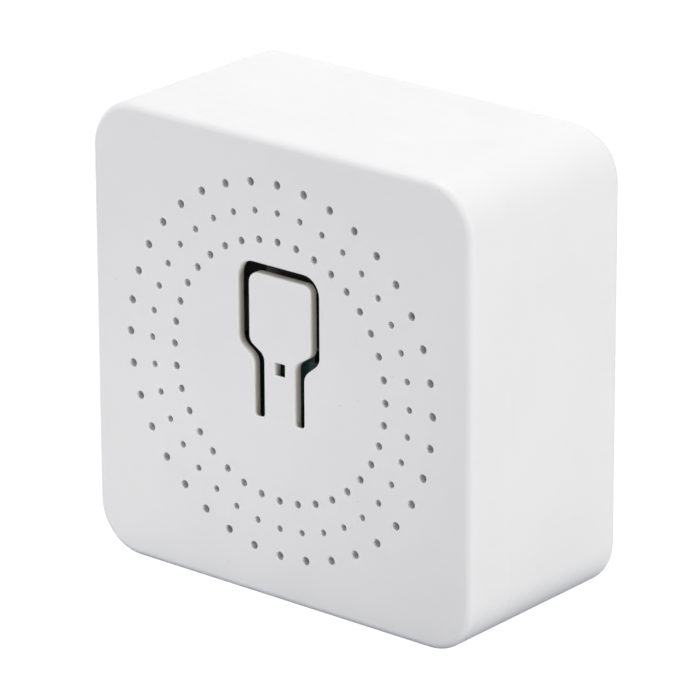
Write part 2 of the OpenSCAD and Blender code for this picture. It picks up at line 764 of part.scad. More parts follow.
module terminal_screw(i) color("silver") {
    at = [pole_x(i), screw_z];
    foot_y = board_back_y + bar_high + iron_gap;
    head_y = board_back_y + head_low;
    slot_y = head_y + screw_head_h - driver_deep;
    difference() {
        union() {
            rod(at, foot_y, head_y - foot_y + screw_head_h / 2, shank_r);
            rod(at, head_y, screw_head_h, screw_head_r);
        }
        for (size = [[driver_w, 2 * screw_head_r], [screw_head_r, driver_w]])
            box([at[0] - size[0] / 2, slot_y, at[1] - size[1] / 2], [size[0], driver_deep + past, size[1]]);
    }
}

module clamp_cage(i) color("silver") {
    x = pole_x(i);
    low = [x - cage_w / 2, board_back_y + cage_low, cage_z];
    difference() {
        box(low, [cage_w, cage_h, cage_l]);
        box(low + [cage_t, cage_t, -past], [cage_w - 2 * cage_t, cage_h - 2 * cage_t, cage_l + 2 * past]);
        rod([x, screw_z], board_back_y + cage_low + cage_h / 2, cage_h, shank_r + iron_gap);
    }
}

module relay_base() color("dimgray") {
    inset = relay_wall_t + relay_gap;
    difference() {
        box([relay_x + inset, board_back_y, relay_z + inset],
            [relay_l - 2 * inset, relay_base_t, relay_w - 2 * inset]);
        for (at = relay_pins_at)
            rod(at, board_back_y - past, relay_base_t + 2 * past, relay_pin_r + iron_gap);
    }
}

module relay_cover() color("black") {
    difference() {
        box([relay_x, board_back_y, relay_z], [relay_l, relay_h, relay_w]);
        box([relay_x + relay_wall_t, board_back_y - relay_wall_t, relay_z + relay_wall_t],
            [relay_l - 2 * relay_wall_t, relay_h, relay_w - 2 * relay_wall_t]);
    }
}

module relay_bobbin() color("ivory") {
    axis_at = [board_back_y + coil_high, coil_z];
    difference() {
        union() {
            cross_rod(axis_at, former_x, former_l, core_r + former_tube_t);
            for (x = [former_x, former_end_x - former_flange_t])
                box([x, axis_at[0] - former_half, coil_z - former_half],
                    [former_flange_t, former_w, former_w]);
        }
        cross_rod(axis_at, former_x - past, former_l + 2 * past, core_r + iron_gap);
    }
}

module relay_coil() color("orangered") {
    axis_at = [board_back_y + coil_high, coil_z];
    length = former_l - 2 * former_flange_t - 2 * iron_gap;
    x = former_x + former_flange_t + iron_gap;
    difference() {
        cross_rod(axis_at, x, length, winding_r);
        cross_rod(axis_at, x - past, length + 2 * past, core_r + former_tube_t + iron_gap);
    }
}

module relay_core() color("gray") {
    axis_at = [board_back_y + coil_high, coil_z];
    cross_rod(axis_at, pole_x_face, core_end_x - pole_x_face, core_r);
    cross_rod(axis_at, pole_x_face, pole_t, pole_r);
}

module relay_yoke() color("gray") {
    low_z = coil_z - iron_w / 2;
    leg_y = board_back_y + relay_base_t;
    axis_at = [board_back_y + coil_high, coil_z];
    box([yoke_x, board_back_y + yoke_low, low_z], [core_end_x - yoke_x, iron_t, iron_w]);
    difference() {
        box([yoke_leg_x, leg_y, low_z], [iron_t, yoke_low + iron_t - relay_base_t, iron_w]);
        cross_rod(axis_at, yoke_leg_x - past, iron_t + 2 * past, core_r + iron_gap);
    }
}

module relay_armature() color("gray")
    box([armature_x, board_back_y + armature_low, coil_z - iron_w / 2],
        [iron_t, yoke_low + iron_t - armature_low, iron_w]);

module relay_contact_arm() color("ivory") {
    low_z = coil_z - iron_w / 2;
    box([arm_x, board_back_y + arm_low, low_z], [arm_t, arm_h, contact_z + contact_r - low_z]);
}

module relay_moving_contact() color("silver")
    cross_rod([board_back_y + contact_high, contact_z], armature_x, contact_t, contact_r);

module relay_fixed_contact() color("silver") {
    cross_rod([board_back_y + contact_high, contact_z], fixed_face_x, contact_t, contact_r);
    box([blade_x, board_back_y + relay_base_t, contact_z - contact_r],
        [blade_t, contact_high + contact_r - relay_base_t, 2 * contact_r]);
}

module relay_pins() color("silver") {
    for (at = relay_pins_at)
        rod(at, board_front_y - lead_out, lead_out + board_t + relay_base_t, relay_pin_r);
}

// An upright capacitor can with a crimp groove and a pair of leads
module capacitor(at, r, h, lead_step) {
    groove_y = board_back_y + h / 5;
    difference() {
        rod(at, board_back_y, h, r);
        translate([at[0], groove_y, at[1]]) rotate([-90, 0, 0])
            rotate_extrude() translate([r, 0]) circle(crimp_t);
    }
    for (s = [-1, 1])
        rod([at[0] + s * lead_step, at[1]], board_front_y - lead_out, lead_out + board_t + lead_r, lead_r);
}

module bulk_capacitors() color("midnightblue")
    for (at = bulk_at) capacitor(at, bulk_r, bulk_h, bulk_lead);

module output_capacitor() color("midnightblue")
    capacitor(output_at, output_r, output_h, output_lead);

module choke_core() color("dimgray") {
    at = [choke_x, upper_z];
    rod(at, board_back_y, choke_h, choke_post_r);
    for (low = [0, choke_h - choke_flange_t]) rod(at, board_back_y + low, choke_flange_t, choke_r);
    for (lead = choke_leads)
        rod(lead, board_front_y - lead_out, lead_out + board_t + lead_r, lead_r);
}

module choke_winding() color("orangered") {
    at = [choke_x, upper_z];
    low_y = board_back_y + choke_flange_t + iron_gap;
    length = choke_h - 2 * choke_flange_t - 2 * iron_gap;
    difference() {
        rod(at, low_y, length, choke_winding_r);
        rod(at, low_y - past, length + 2 * past, choke_post_r + iron_gap);
    }
}

module varistor() color("steelblue") {
    high = stand_off + varistor_r;
    cross_rod([board_back_y + high, upper_z], varistor_x - varistor_t / 2, varistor_t, varistor_r);
    for (at = varistor_leads)
        rod(at, board_front_y - lead_out, lead_out + board_t + high, lead_r);
}

module fuse_resistor() color("tan") {
    axis_y = board_back_y + stand_off + fuse_r;
    wire_l = 2 * fuse_lead;
    translate([fuse_x, axis_y, fuse_z]) cylinder(h = fuse_l, r = fuse_r);
    translate([fuse_x, axis_y, fuse_z + fuse_l / 2 - fuse_lead]) cylinder(h = wire_l, r = lead_r);
    for (at = fuse_leads)
        rod(at, board_front_y - lead_out, axis_y - board_front_y + lead_out + lead_r, lead_r);
}

module bridge_rectifier() color("black")
    box([bridge_x - bridge_l / 2, board_back_y, upper_z - bridge_w / 2], [bridge_l, bridge_h, bridge_w]);

module converter_chip() color("black")
    box([chip_x - chip_l / 2, board_front_y - chip_h, chip_z - chip_w / 2], [chip_l, chip_h, chip_w]);

module chip_components() color("tan")
    for (x = small_columns, i = [0:small_rows - 1])
        box([x, board_front_y - small_h, small_z + i * small_pitch], [small_l, small_h, small_w]);

front_cover();
rear_case();
button();
main_board();
status_led();
tact_base();
tact_frame();
tact_dome();
tact_plunger();
radio_board();
radio_shield();
terminal_block();
terminal_contacts();
for (i = [1:poles]) {
    terminal_screw(i);
    clamp_cage(i);
}
relay_base();
relay_cover();
relay_bobbin();
relay_coil();
relay_core();
relay_yoke();
relay_armature();
relay_contact_arm();
relay_moving_contact();
relay_fixed_contact();
relay_pins();
bulk_capacitors();
output_capacitor();
choke_core();
choke_winding();
varistor();
fuse_resistor();
bridge_rectifier();
converter_chip();
chip_components();
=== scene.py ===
# Smart relay module: white two-part case with ringed vents, a sprung button and screw terminals
import json
import math

import bmesh
import bpy
from mathutils import Matrix, Vector


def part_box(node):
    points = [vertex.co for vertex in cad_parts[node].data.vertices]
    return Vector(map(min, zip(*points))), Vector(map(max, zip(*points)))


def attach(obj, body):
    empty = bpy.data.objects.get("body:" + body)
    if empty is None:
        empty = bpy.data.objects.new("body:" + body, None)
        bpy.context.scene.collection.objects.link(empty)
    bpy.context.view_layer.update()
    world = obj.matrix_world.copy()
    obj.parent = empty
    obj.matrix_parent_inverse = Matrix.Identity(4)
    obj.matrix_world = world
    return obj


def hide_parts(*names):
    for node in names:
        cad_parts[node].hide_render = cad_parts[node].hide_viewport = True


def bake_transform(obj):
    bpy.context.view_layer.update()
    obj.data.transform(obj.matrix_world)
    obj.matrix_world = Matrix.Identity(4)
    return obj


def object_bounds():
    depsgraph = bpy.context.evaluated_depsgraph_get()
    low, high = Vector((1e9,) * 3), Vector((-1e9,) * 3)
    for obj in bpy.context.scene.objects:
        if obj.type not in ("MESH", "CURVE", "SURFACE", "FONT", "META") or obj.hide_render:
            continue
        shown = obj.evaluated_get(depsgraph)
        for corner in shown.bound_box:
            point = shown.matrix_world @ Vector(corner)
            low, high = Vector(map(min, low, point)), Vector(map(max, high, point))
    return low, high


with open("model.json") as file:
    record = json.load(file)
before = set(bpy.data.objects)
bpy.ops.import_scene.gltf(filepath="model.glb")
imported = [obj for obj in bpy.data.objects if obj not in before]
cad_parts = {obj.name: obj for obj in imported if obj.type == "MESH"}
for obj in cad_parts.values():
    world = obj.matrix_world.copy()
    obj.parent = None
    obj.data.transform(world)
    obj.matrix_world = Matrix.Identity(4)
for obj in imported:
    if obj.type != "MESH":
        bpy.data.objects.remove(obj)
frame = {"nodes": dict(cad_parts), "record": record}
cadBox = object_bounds()
mm = 0.001  # shapes are drawn in millimetres and brought to metres at the end
print("frame loaded,", len(frame["nodes"]), "nodes")


# Small helpers for meshes

def meshObject(name, form):
    mesh = bpy.data.meshes.new(name)
    form.to_mesh(mesh)
    form.free()
    made = bpy.data.objects.new(name, mesh)
    bpy.context.collection.objects.link(made)
    return made


def bakeModifiers(piece):
    bpy.context.view_layer.update()
    whole = piece.evaluated_get(bpy.context.evaluated_depsgraph_get())
    result = bpy.data.meshes.new_from_object(whole)
    spent = piece.data
    piece.modifiers.clear()
    piece.data = result
    bpy.data.meshes.remove(spent)


def combine(piece, tool, operation):
    cut = piece.modifiers.new("cut", "BOOLEAN")
    cut.operation = operation
    cut.solver = "EXACT"
    cut.object = tool
    bakeModifiers(piece)
    bpy.data.objects.remove(tool)


def loftedSolid(name, rings):
    form = bmesh.new()
    rows = [[form.verts.new(point) for point in ring] for ring in rings]
    form.faces.new(rows[0])
    form.faces.new(rows[-1])
    for near, far in zip(rows, rows[1:]):
        for k in range(len(near)):
            form.faces.new((near[k - 1], near[k], far[k], far[k - 1]))
    bmesh.ops.recalc_face_normals(form, faces=form.faces)
    return meshObject(name, form)


def roundBar(name, start, end, radius, sides=28):
    along = (end - start).normalized()
    across = along.orthogonal().normalized()
    turns = [Matrix.Rotation(math.tau * k / sides, 3, along) for k in range(sides)]
    rings = [[at + turn @ across * radius for turn in turns] for at in (start, end)]
    return loftedSolid(name, rings)


def quarterRound(radius, steps):  # inset and depth, from the flat face over to the side
    turns = [math.pi / 2 * k / steps for k in range(steps + 1)]
    return [(radius * (1 - math.sin(turn)), radius * (1 - math.cos(turn))) for turn in turns]


def roundedOutline(corners, steps=7):  # corners are x, z and radius, in order round the shape
    outline = []
    for k, (x, z, radius) in enumerate(corners):
        here = Vector((x, z))
        toLast = (Vector(corners[k - 1][:2]) - here).normalized()
        toNext = (Vector(corners[(k + 1) % len(corners)][:2]) - here).normalized()
        half = toLast.angle(toNext) / 2
        centre = here + (toLast + toNext).normalized() * radius / math.sin(half)
        first = here + toLast * radius / math.tan(half) - centre
        last = here + toNext * radius / math.tan(half) - centre
        begin = math.atan2(first.y, first.x)
        sweep = (math.atan2(last.y, last.x) - begin + math.pi) % math.tau - math.pi
        for step in range(steps + 1):
            turn = begin + sweep * step / steps
            outline.append(centre + radius * Vector((math.cos(turn), math.sin(turn))))
    return outline


def grownOutline(outline, amount):
    pairs = zip(outline, outline[1:] + outline[:1])
    side = math.copysign(1, sum(a.x * b.y - b.x * a.y for a, b in pairs))
    grown = []
    for k, here in enumerate(outline):
        before = (here - outline[k - 1]).normalized()
        after = (outline[(k + 1) % len(outline)] - here).normalized()
        along = (before + after).normalized()
        outward = Vector((along.y, -along.x)) * side
        grown.append(here + outward * amount / along.dot(before))
    return grown


def finishMesh(piece, sharpAngle=38, faceWeight=100):  # clean shading, then to metres
    piece.data.transform(Matrix.Scale(mm, 4))
    piece.data.shade_smooth()
    piece.data.set_sharp_from_angle(angle=math.radians(sharpAngle))
    even = piece.modifiers.new("even shading", "WEIGHTED_NORMAL")
    even.keep_sharp = True
    even.weight = faceWeight
    bakeModifiers(piece)
    print(piece.name, len(piece.data.polygons), "faces")


# Helpers for node trees

def addNode(tree, kind, sockets=None, **settings):
    node = tree.nodes.new(kind)
    for name, value in settings.items():
        setattr(node, name, value)
    for name, value in (sockets or {}).items():
        if isinstance(value, bpy.types.NodeSocket):
            tree.links.new(value, node.inputs[name])
        else:
            node.inputs[name].default_value = value
    return node


def newTree(name, kind, inputs, outputs):
    tree = bpy.data.node_groups.new(name, kind)
    for label, socket in inputs.items():
        tree.interface.new_socket(label, in_out="INPUT", socket_type="NodeSocket" + socket)
    for label, socket in outputs.items():
        tree.interface.new_socket(label, in_out="OUTPUT", socket_type="NodeSocket" + socket)
    given = tree.nodes.new("NodeGroupInput").outputs
    wanted = tree.nodes.new("NodeGroupOutput").inputs
    return tree, given, wanted


def calculate(tree, operation, *values):
    sums = addNode(tree, "ShaderNodeMath", dict(enumerate(values)), operation=operation)
    return sums.outputs[0]


def vectorMath(tree, operation, *values):
    sums = addNode(tree, "ShaderNodeVectorMath", dict(enumerate(values)), operation=operation)
    return sums.outputs["Value" if operation == "LENGTH" else "Vector"]


def spread(tree, value, limits, results=(0.0, 1.0), **settings):  # one span of values onto another
    sockets = {"Value": value, "From Min": limits[0], "From Max": limits[1],
               "To Min": results[0], "To Max": results[1]}
    return addNode(tree, "ShaderNodeMapRange", sockets, **settings).outputs[0]


def runTree(piece, tree, values):  # inputs go in by identifier before the first evaluation
    step = piece.modifiers.new(tree.name, "NODES")
    step.node_group = tree
    for socket in tree.interface.items_tree:
        if socket.in_out == "INPUT" and socket.name in values:
            step[socket.identifier] = values[socket.name]
    bakeModifiers(piece)


# Shared surface effects

noiseSpan = (0.3, 0.7)  # a noise seldom leaves this span
grainMix = {"wideScale": 0.15, "wideShare": 0.6}


def softMottle():
    tree, given, wanted = newTree(
        "soft mottle", "ShaderNodeTree",
        {"Vector": "Vector", "Scale": "Float", "Low": "Float", "High": "Float"}, {"Value": "Float"})
    cloud = addNode(tree, "ShaderNodeTexNoise", {"Vector": given["Vector"], "Scale": given["Scale"],
                                                 "Detail": 3.0, "Roughness": 0.55})
    value = spread(tree, cloud.outputs["Fac"], noiseSpan, (given["Low"], given["High"]))
    tree.links.new(value, wanted["Value"])
    return tree


def mouldGrain():
    tree, given, wanted = newTree("mould grain", "ShaderNodeTree",
                                  {"Vector": "Vector", "Scale": "Float"}, {"Height": "Float"})
    fine = addNode(tree, "ShaderNodeTexNoise", {"Vector": given["Vector"], "Scale": given["Scale"],
                                                "Detail": 2.0, "Roughness": 0.6})
    wideScale = calculate(tree, "MULTIPLY", given["Scale"], grainMix["wideScale"])
    wide = addNode(tree, "ShaderNodeTexNoise", {"Vector": given["Vector"], "Scale": wideScale,
                                                "Detail": 2.0})
    height = calculate(tree, "MULTIPLY_ADD", wide.outputs["Fac"], grainMix["wideShare"],
                       fine.outputs["Fac"])
    tree.links.new(height, wanted["Height"])
    return tree


def fineSpecks():
    tree, given, wanted = newTree(
        "fine specks", "ShaderNodeTree",
        {"Vector": "Vector", "Scale": "Float", "Size": "Float", "Share": "Float"},
        {"Mask": "Float"})
    cells = addNode(tree, "ShaderNodeTexVoronoi", {"Vector": given["Vector"],
                                                   "Scale": given["Scale"]})
    inside = spread(tree, cells.outputs["Distance"], (given["Size"], 0.0))
    pick = addNode(tree, "ShaderNodeSeparateColor", {"Color": cells.outputs["Color"]})
    kept = calculate(tree, "LESS_THAN", pick.outputs[0], given["Share"])
    tree.links.new(calculate(tree, "MULTIPLY", inside, kept), wanted["Mask"])
    return tree


def drawnLines():
    tree, given, wanted = newTree(
        "drawn lines", "ShaderNodeTree",
        {"Vector": "Vector", "Scale": "Float", "Stretch": "Vector"}, {"Height": "Float"})
    pulled = vectorMath(tree, "MULTIPLY", given["Vector"], given["Stretch"])
    lines = addNode(tree, "ShaderNodeTexNoise", {"Vector": pulled, "Scale": given["Scale"],
                                                 "Detail": 4.0, "Roughness": 0.65})
    tree.links.new(lines.outputs["Fac"], wanted["Height"])
    return tree


effects = {"mottle": softMottle(), "grain": mouldGrain(), "specks": fineSpecks(),
           "lines": drawnLines()}


def newFinish(name):
    finish = bpy.data.materials.new(name)
    finish.use_nodes = True
    tree = finish.node_tree
    spots = addNode(tree, "ShaderNodeTexCoord").outputs["Object"]
    return finish, tree, tree.nodes["Principled BSDF"].inputs, spots


def effect(tree, name, sockets):
    return addNode(tree, "ShaderNodeGroup", sockets, node_tree=effects[name]).outputs[0]


def mottled(tree, spots, scale, span=(0.0, 1.0)):
    return effect(tree, "mottle", {"Vector": spots, "Scale": scale,
                                   "Low": span[0], "High": span[1]})


def blendColour(tree, amount, first, second):
    sockets = {0: amount, 6: first, 7: second}  # a mix node has its colours at 6 and 7
    return addNode(tree, "ShaderNodeMix", sockets, data_type="RGBA").outputs[2]


def cloudedColour(tree, spots, look):
    cloud = mottled(tree, spots, look["cloudScale"])
    return blendColour(tree, cloud, look["colour"], look["shade"])


def varyGloss(tree, shader, spots, look):
    gloss = mottled(tree, spots, look["glossScale"], look["roughness"])
    tree.links.new(gloss, shader["Roughness"])


def raiseSurface(tree, shader, height, look):
    bump = addNode(tree, "ShaderNodeBump", {"Height": height, "Strength": look["bumpStrength"],
                                            "Distance": look["bumpDepth"]})
    tree.links.new(bump.outputs[0], shader["Normal"])


def addGrain(tree, shader, spots, look):
    grain = effect(tree, "grain", {"Vector": spots, "Scale": look["grainScale"]})
    raiseSurface(tree, shader, grain, look)


# White plastic of the case, with its lengths in millimetres

# The slot, deep and vent tones are painted shade on the inner walls
whitePlastic = {"colour": (0.82, 0.815, 0.805, 1), "shade": (0.795, 0.79, 0.78, 1),
                "cloudScale": 90.0, "speck": (0.5, 0.49, 0.47, 1), "speckScale": 1100.0,
                "speckSize": 0.09, "speckShare": 0.05, "slotShade": (0.83, 0.785, 0.705, 1),
                "deepShade": (0.5, 0.45, 0.4, 1), "ventShade": (0.77, 0.745, 0.75, 1),
                "slotReach": 9.6, "innerInset": 3.2, "innerDepths": (0.06, 0.3),
                "deepDepths": (0.3, 1.1), "turnSpan": (-0.9, -0.4), "roughness": (0.44, 0.56),
                "glossScale": 900.0, "grainScale": 7000.0, "bumpStrength": 0.1,
                "bumpDepth": 0.00002}


def paintedRecessShade(tree, spots, look):  # painted shade: share and colour of the darker inner walls of slots, vents and hollow, warm near the mouth and darker deeper in, none on the outside
    low, high = cadBox
    middle, half = (low + high) / 2, (high - low) / 2
    away = vectorMath(tree, "ABSOLUTE", vectorMath(tree, "SUBTRACT", spots, middle))
    part = addNode(tree, "ShaderNodeSeparateXYZ", {0: away}).outputs
    across = calculate(tree, "LESS_THAN", part["X"], half.x - look["innerInset"] * mm)
    upward = calculate(tree, "LESS_THAN", part["Z"], half.z - look["innerInset"] * mm)
    deep, far = (spread(tree, part["Y"], [half.y - depth * mm for depth in look[key]])
                 for key in ("innerDepths", "deepDepths"))
    facing = addNode(tree, "ShaderNodeTexCoord").outputs["Normal"]
    facing = addNode(tree, "ShaderNodeSeparateXYZ", {0: facing}).outputs["Y"]
    turned = spread(tree, facing, look["turnSpan"])  # a pressed face stays white
    inside = calculate(tree, "MULTIPLY", calculate(tree, "MULTIPLY", deep, turned),
                       calculate(tree, "MULTIPLY", across, upward))
    flat = addNode(tree, "ShaderNodeCombineXYZ", {"X": part["X"], "Z": part["Z"]}).outputs[0]
    ringed = calculate(tree, "GREATER_THAN", vectorMath(tree, "LENGTH", flat),
                       look["slotReach"] * mm)
    walls = blendColour(tree, far, look["slotShade"], look["deepShade"])
    return inside, blendColour(tree, ringed, walls, look["ventShade"])


def caseFinish(look):
    finish, tree, shader, spots = newFinish("satin white plastic")
    dust = effect(tree, "specks", {"Vector": spots, "Scale": look["speckScale"],
                                   "Size": look["speckSize"], "Share": look["speckShare"]})
    base = blendColour(tree, dust, cloudedColour(tree, spots, look), look["speck"])
    # painted shade on the walls of the slots, the vents and the hollow
    inside, tone = paintedRecessShade(tree, spots, look)
    tree.links.new(blendColour(tree, inside, base, tone), shader["Base Color"])
    varyGloss(tree, shader, spots, look)
    addGrain(tree, shader, spots, look)
    return finish


# Other plastics and metals: colour, shade and span of roughness

tableColumns = ("colour", "shade", "roughness")
plasticSurface = {"cloudScale": 260.0, "glossScale": 1200.0, "grainScale": 6000.0,
                  "bumpStrength": 0.15, "bumpDepth": 0.00002}
plastics = {
    # the switch's frame also takes this black, as painted shade seen through the slot
    "switch_black": ((0.022, 0.022, 0.023, 1), (0.034, 0.033, 0.032, 1), (0.42, 0.58)),
    "terminal_grey": ((0.36, 0.37, 0.36, 1), (0.31, 0.32, 0.31, 1), (0.45, 0.6)),
    "relay_black": ((0.014, 0.014, 0.017, 1), (0.022, 0.022, 0.026, 1), (0.2, 0.32)),
    "former_ivory": ((0.66, 0.6, 0.44, 1), (0.58, 0.52, 0.37, 1), (0.4, 0.55)),
    # painted shade: the status light's lens is near black so the window behind it reads dark
    "light_lens": ((0.028, 0.027, 0.034, 1), (0.038, 0.037, 0.045, 1), (0.12, 0.2)),
    "capacitor_sleeve": ((0.012, 0.022, 0.085, 1), (0.02, 0.034, 0.11, 1), (0.2, 0.3)),
    "varistor_blue": ((0.03, 0.1, 0.3, 1), (0.045, 0.135, 0.36, 1), (0.22, 0.36)),
    "ferrite": ((0.05, 0.05, 0.054, 1), (0.08, 0.08, 0.086, 1), (0.6, 0.8)),
    "chip_black": ((0.02, 0.02, 0.022, 1), (0.03, 0.03, 0.033, 1), (0.5, 0.66)),
}
metalSurface = {"lineScale": 2400.0, "lineStretch": (1.0, 0.08, 1.0), "cloudScale": 500.0,
                "bumpStrength": 0.12, "bumpDepth": 0.00001}
metals = {
    "bright_tin": ((0.66, 0.66, 0.64, 1), (0.56, 0.56, 0.55, 1), (0.24, 0.4)),
    "gold_dome": ((0.72, 0.52, 0.2, 1), (0.62, 0.43, 0.16, 1), (0.2, 0.32)),
    "contact_brass": ((0.62, 0.44, 0.17, 1), (0.5, 0.35, 0.14, 1), (0.28, 0.44)),
    "zinc_steel": ((0.56, 0.57, 0.59, 1), (0.44, 0.45, 0.47, 1), (0.28, 0.46)),
    "soft_iron": ((0.3, 0.3, 0.31, 1), (0.22, 0.22, 0.225, 1), (0.4, 0.6)),
    "contact_silver": ((0.8, 0.79, 0.76, 1), (0.66, 0.65, 0.62, 1), (0.18, 0.34)),
}


def plasticFinish(name, look):
    finish, tree, shader, spots = newFinish(name.replace("_", " "))
    tree.links.new(cloudedColour(tree, spots, look), shader["Base Color"])
    varyGloss(tree, shader, spots, look)
    addGrain(tree, shader, spots, look)
    return finish


def metalFinish(name, look):
    finish, tree, shader, spots = newFinish(name.replace("_", " "))
    lines = effect(tree, "lines", {"Vector": spots, "Scale": look["lineScale"],
                                   "Stretch": look["lineStretch"]})
    tree.links.new(cloudedColour(tree, spots, look), shader["Base Color"])
    tree.links.new(spread(tree, lines, noiseSpan, look["roughness"]), shader["Roughness"])
    shader["Metallic"].default_value = 1.0
    raiseSurface(tree, shader, lines, look)
    return finish


# Boards, windings and the banded resistor

boardLook = {"mask": (0.03, 0.118, 0.09, 1), "copper": (0.04, 0.15, 0.115, 1),
             "pad": (0.55, 0.54, 0.5, 1), "trackScale": 520.0, "trackFold": 0.16,
             "trackFrom": 0.09, "padScale": 620.0, "padSize": 0.2, "padShare": 0.06,
             "padFrom": 0.3, "roughness": (0.26, 0.38), "glossScale": 700.0,
             "bumpStrength": 0.3, "bumpDepth": 0.00003}
# painted shade: the radio board is near black with no pads, standing for shade
radioShadeLook = boardLook | {"mask": (0.011, 0.015, 0.014, 1), "copper": (0.015, 0.02, 0.019, 1),
                         "padShare": 0.0}
# the gap colour is painted shade between the turns
wireLook = {"bright": (0.56, 0.2, 0.07, 1), "gap": (0.14, 0.04, 0.014, 1), "turnScale": 2600.0,
            "waver": 0.6, "waverDetail": 1.0, "waverScale": 0.4, "metallic": 0.85,
            "roughness": (0.22, 0.34), "glossScale": 800.0, "bumpStrength": 0.6,
            "bumpDepth": 0.00006}
resistorLook = {"coat": (0.5, 0.36, 0.2, 1), "bands": (0.12, 0.035, 0.015, 1),
                "bandScale": 420.0, "bandFrom": 0.86, "cloudScale": 900.0, "cloud": (0.0, 0.25),
                "roughness": (0.35, 0.55), "glossScale": 1500.0, "grainScale": 4000.0,
                "bumpStrength": 0.2, "bumpDepth": 0.00003}


def boardFinish(name, look):  # copper tracks lie under the mask, with bare tinned pads
    finish, tree, shader, spots = newFinish(name)
    squares = addNode(tree, "ShaderNodeTexVoronoi", {"Vector": spots, "Scale": look["trackScale"]},
                      distance="CHEBYCHEV").outputs["Distance"]
    folded = calculate(tree, "PINGPONG", squares, look["trackFold"])
    track = calculate(tree, "GREATER_THAN", folded, look["trackFrom"])
    pad = effect(tree, "specks", {"Vector": spots, "Scale": look["padScale"],
                                  "Size": look["padSize"], "Share": look["padShare"]})
    pad = calculate(tree, "GREATER_THAN", pad, look["padFrom"])
    base = blendColour(tree, track, look["mask"], look["copper"])
    tree.links.new(blendColour(tree, pad, base, look["pad"]), shader["Base Color"])
    tree.links.new(pad, shader["Metallic"])
    varyGloss(tree, shader, spots, look)
    raiseSurface(tree, shader, track, look)
    return finish


def windingFinish(look):  # turns of enamelled wire side by side along X, with painted shade in the gaps between turns
    finish, tree, shader, spots = newFinish("enamelled copper turns")
    turns = addNode(tree, "ShaderNodeTexWave", {
        "Vector": spots, "Scale": look["turnScale"], "Distortion": look["waver"],
        "Detail": look["waverDetail"], "Detail Scale": look["waverScale"]}).outputs["Fac"]
    tree.links.new(blendColour(tree, turns, look["gap"], look["bright"]), shader["Base Color"])
    varyGloss(tree, shader, spots, look)
    shader["Metallic"].default_value = look["metallic"]
    raiseSurface(tree, shader, turns, look)
    return finish


def resistorFinish(look):
    finish, tree, shader, spots = newFinish("banded tan coating")
    bands = addNode(tree, "ShaderNodeTexWave", {"Vector": spots, "Scale": look["bandScale"]},
                    bands_direction="Z").outputs["Fac"]
    bands = calculate(tree, "GREATER_THAN", bands, look["bandFrom"])
    cloud = mottled(tree, spots, look["cloudScale"], look["cloud"])
    coat = blendColour(tree, cloud, look["coat"], look["bands"])
    tree.links.new(blendColour(tree, bands, coat, look["bands"]), shader["Base Color"])
    varyGloss(tree, shader, spots, look)
    addGrain(tree, shader, spots, look)
    return finish


finishes = {}
for table, surface, makeFinish in ((plastics, plasticSurface, plasticFinish),
                                   (metals, metalSurface, metalFinish)):
    for name, row in table.items():
        finishes[name] = makeFinish(name, surface | dict(zip(tableColumns, row)))
caseWhite = caseFinish(whitePlastic)
finishes["case_white"] = caseWhite
finishes["board_green"] = boardFinish("green board mask", boardLook)
finishes["copper_wire"] = windingFinish(wireLook)
finishes["resistor_tan"] = resistorFinish(resistorLook)
# painted shade: the near-black radio board
radioShadeMask = boardFinish("radio board mask dark as shade", radioShadeLook)
for part in frame["record"]["subparts"]:
    for holder in frame["nodes"][part["node"]].material_slots:
        holder.material = finishes[part["material_slot"]]
for holder in frame["nodes"]["radio_board"].material_slots:
    holder.material = radioShadeMask
print("finishes made")


# The case, from the frame's own box

caseShape = {"cornerRadius": 4.3, "frontRounding": 0.62, "backRounding": 0.6, "wall": 1.2,
             "panel": 0.8, "back": 1.2, "lipLength": 1.6, "lipWall": 0.55, "lipGap": 0.05,
             "seamRounding": 0.012, "cornerSteps": 14, "edgeSteps": 10, "seamSteps": 3}
postShape = {"offset": 15.2, "radius": 1.6, "sink": 0.4, "pegRadius": 0.75, "pegLength": 0.7}
beadShape = {"radius": 0.3, "length": 10.0, "inset": 0.75, "behindLip": 0.8, "gap": 0.05,
             "sides": 20}

coverLow, coverHigh = (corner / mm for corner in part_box("front_cover"))
rearLow, rearHigh = (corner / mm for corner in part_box("rear_case"))
boardLow, boardHigh = (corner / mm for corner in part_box("main_board"))
frontY, seamY, backY = coverLow.y, coverHigh.y, rearHigh.y
panelY, insideY = frontY + caseShape["panel"], backY - caseShape["back"]
lipY = seamY - caseShape["lipLength"]
caseMiddle = (coverLow + coverHigh) / 2
caseHalf = (coverHigh - coverLow) / 2


def caseRing(inset, y):
    steps = caseShape["cornerSteps"]
    radius = caseShape["cornerRadius"] - inset
    reachX, reachZ = caseHalf.x - inset - radius, caseHalf.z - inset - radius
    ring = []
    for quarter, (sideX, sideZ) in enumerate(((1, 1), (-1, 1), (-1, -1), (1, -1))):
        for step in range(steps + 1):
            turn = math.pi / 2 * (quarter + step / steps)
            ring.append(Vector((caseMiddle.x + sideX * reachX + radius * math.cos(turn), y,
                                caseMiddle.z + sideZ * reachZ + radius * math.sin(turn))))
    return ring


def postPlaces():
    reach = postShape["offset"]
    return [(caseMiddle.x + x * reach, caseMiddle.z + z * reach) for x in (-1, 1) for z in (-1, 1)]


def alongY(name, x, z, y0, y1, radius):
    return roundBar(name, Vector((x, y0, z)), Vector((x, y1, z)), radius)


